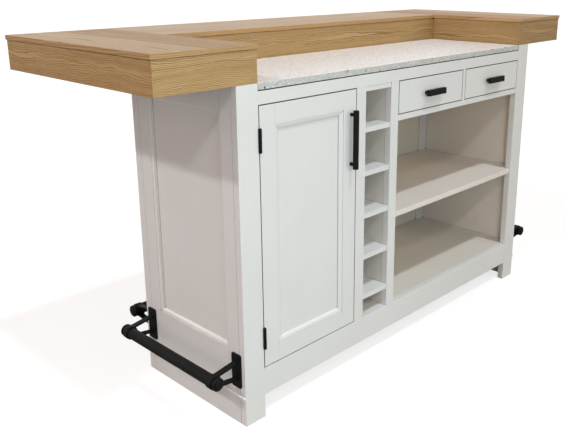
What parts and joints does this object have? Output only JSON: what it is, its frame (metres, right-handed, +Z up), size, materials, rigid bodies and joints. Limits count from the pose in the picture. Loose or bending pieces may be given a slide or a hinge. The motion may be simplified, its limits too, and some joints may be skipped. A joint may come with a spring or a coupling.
{
  "type": "kitchen island unit",
  "caption": "Painted home bar island with cupboard, bottle cubbies, drawers and open shelves, raised oak bar round a terrazzo worktop, black foot rails.",
  "frame": {"origin": "on the floor, under the middle of the whole part's bounding box", "axes": "+X to the right along the serving front, +Y towards the guests' side, +Z up"},
  "size_m": [1.966, 0.754, 1.067],
  "materials": {
    "paint": "cool off-white satin paint on wood",
    "inner_paint": "matt warm grey paint on wood",
    "raw_wood": "planed softwood",
    "oak": "oiled oak with cathedral grain",
    "terrazzo": "honed fine-grained terrazzo",
    "black_metal": "matt black coating on steel",
    "bright_steel": "brushed"
  },
  "bodies": {
    "cabinet": {"front_post_left": "paint", "front_post_right": "paint", "top_rail": "paint", "bottom_rail": "paint", "door_side_stile": "paint", "bay_side_stile": "paint", "drawer_rail": "paint", "drawer_divider": "paint", "back_frame": "paint", "back_board": "inner_paint", "side_frame_left": "paint", "side_frame_right": "paint", "base_boards": "paint", "side_board_left": "paint", "side_board_right": "paint", "panel_mouldings": "paint", "base_beads": "paint", "floor_board": "inner_paint", "door_partition": "inner_paint", "bay_partition": "inner_paint", "cubby_liner": "inner_paint", "cubby_shelves": "paint", "open_shelf": "inner_paint", "cupboard_shelf": "inner_paint", "cupboard_cleats": "raw_wood", "drawer_deck": "raw_wood", "drawer_guides": "raw_wood", "top_stretchers": "raw_wood", "door_catch": "bright_steel", "worktop": "terrazzo", "bar_top_left": "oak", "bar_top_back": "oak", "bar_top_right": "oak", "apron_left": "oak", "apron_back": "oak", "apron_right": "oak", "bar_bearers": "raw_wood", "foot_rail_left": "black_metal", "foot_rail_back": "black_metal", "foot_rail_right": "black_metal", "side_rail_brackets": "black_metal", "back_rail_brackets": "black_metal", "rail_end_caps": "black_metal", "hinge_post_leaves": "black_metal", "hinge_pins": "black_metal"},
    "door": {"door_stiles": "paint", "door_rails": "paint", "door_panel": "paint", "door_moulding": "paint", "door_pull": "black_metal", "door_strike": "bright_steel", "hinge_door_leaves": "black_metal"},
    "drawer_left": {"drawer_left_front": "paint", "drawer_left_box": "raw_wood", "drawer_left_bottom": "raw_wood", "drawer_left_pull": "black_metal"},
    "drawer_right": {"drawer_right_front": "paint", "drawer_right_box": "raw_wood", "drawer_right_bottom": "raw_wood", "drawer_right_pull": "black_metal"}
  },
  "joints": [
    {"name": "door_hinge", "type": "hinge", "parent": "cabinet", "child": "door", "pos_m": [-0.6665, -0.3545, 0.534], "axis": [0, 0, -1], "range_deg": [0, 170]},
    {"name": "drawer_left_slide", "type": "slide", "parent": "cabinet", "child": "drawer_left", "axis": [0, -1, 0], "range_m": [0, 0.33]},
    {"name": "drawer_right_slide", "type": "slide", "parent": "cabinet", "child": "drawer_right", "axis": [0, -1, 0], "range_m": [0, 0.33]}
  ]
}
